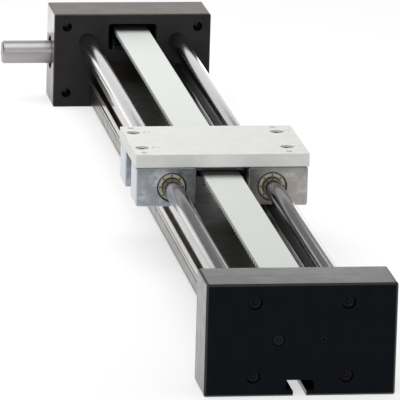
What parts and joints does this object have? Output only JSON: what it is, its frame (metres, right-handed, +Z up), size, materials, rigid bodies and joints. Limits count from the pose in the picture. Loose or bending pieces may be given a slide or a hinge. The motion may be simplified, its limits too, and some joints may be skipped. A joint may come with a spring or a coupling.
{
  "type": "belt driven linear axis",
  "caption": "Linear axis: a carriage on two ground rods above an extruded profile, drawn by a toothed belt round pulleys in the end blocks, with a free drive shaft end.",
  "frame": {"origin": "mouth of the tension end block's T-slot: middle of the width, front face, underside", "axes": "+Y along the axis from the tension end to the drive end, +X to the right seen from the tension end, +Z up through the carriage plate"},
  "size_m": [0.1965, 1.043, 0.0925],
  "materials": {
    "dark": "black anodised, smooth",
    "profile": "extruded and black anodised",
    "plate": "milled, clear anodised",
    "block": "milled, clear anodised",
    "pulley": "turned and hobbed",
    "ground": "ground and hardened",
    "bearing": "ground bearing steel",
    "blackened": "blackened steel",
    "belt": "white polyurethane with steel cords inside",
    "cage": "moulded, cream",
    "yoke": "milled steel"
  },
  "bodies": {
    "frame": {"tension_end_block": "dark", "tension_seat_plate": "dark", "tension_block_screws": "blackened", "tension_pull_screw": "blackened", "tension_push_screw": "blackened", "idler_yoke": "yoke", "idler_axle": "ground", "idler_spacers": "bearing", "idler_bearing_inner_rings": "bearing", "base_profile": "profile", "profile_screws": "blackened", "switch_rail": "dark", "rail_screws": "blackened", "rail_slot_nuts": "yoke", "guide_rod_left": "ground", "guide_rod_right": "ground", "rod_set_screws": "blackened", "drive_end_block": "dark", "drive_bearing_outer_rings": "bearing", "bearing_retaining_rings": "blackened", "rear_cover": "dark", "rear_cover_screws": "blackened", "toothed_belt": "belt"},
    "carriage": {"carriage_plate": "plate", "bushing_balls": "bearing", "block_screws": "blackened", "block_dowels": "bearing", "belt_clamp_upper": "block", "belt_clamp_lower": "block", "belt_clamp_screws": "blackened", "bearing_block_front_left": "block", "ball_bushing_front_left": "bearing", "bushing_cage_front_left": "cage", "bearing_block_front_right": "block", "ball_bushing_front_right": "bearing", "bushing_cage_front_right": "cage", "bearing_block_rear_left": "block", "ball_bushing_rear_left": "bearing", "bushing_cage_rear_left": "cage", "bearing_block_rear_right": "block", "ball_bushing_rear_right": "bearing", "bushing_cage_rear_right": "cage"},
    "drive": {"drive_shaft": "ground", "drive_pulley": "pulley", "pulley_key": "yoke", "pulley_retaining_rings": "blackened", "drive_bearing_inner_rings": "bearing", "drive_bearing_balls": "bearing"},
    "idler": {"idler_pulley": "pulley", "idler_bearing_outer_rings": "bearing", "idler_bearing_balls": "bearing"}
  },
  "joints": [
    {"name": "carriage_slide", "type": "slide", "parent": "frame", "child": "carriage", "axis": [0, 1, 0], "range_m": [-0.35, 0.45]},
    {"name": "drive_spin", "type": "hinge", "parent": "frame", "child": "drive", "pos_m": [0, 1.0105, 0.047], "axis": [-1, 0, 0], "range_deg": [-790, 1015]},
    {"name": "idler_spin", "type": "hinge", "parent": "frame", "child": "idler", "pos_m": [0, 0.0455, 0.047], "axis": [-1, 0, 0], "range_deg": [-790, 1015]}
  ],
  "couplings": [
    {"joint": "drive_spin", "follows": "carriage_slide", "rad_per_m": 39.27},
    {"joint": "idler_spin", "follows": "carriage_slide", "rad_per_m": 39.27}
  ]
}
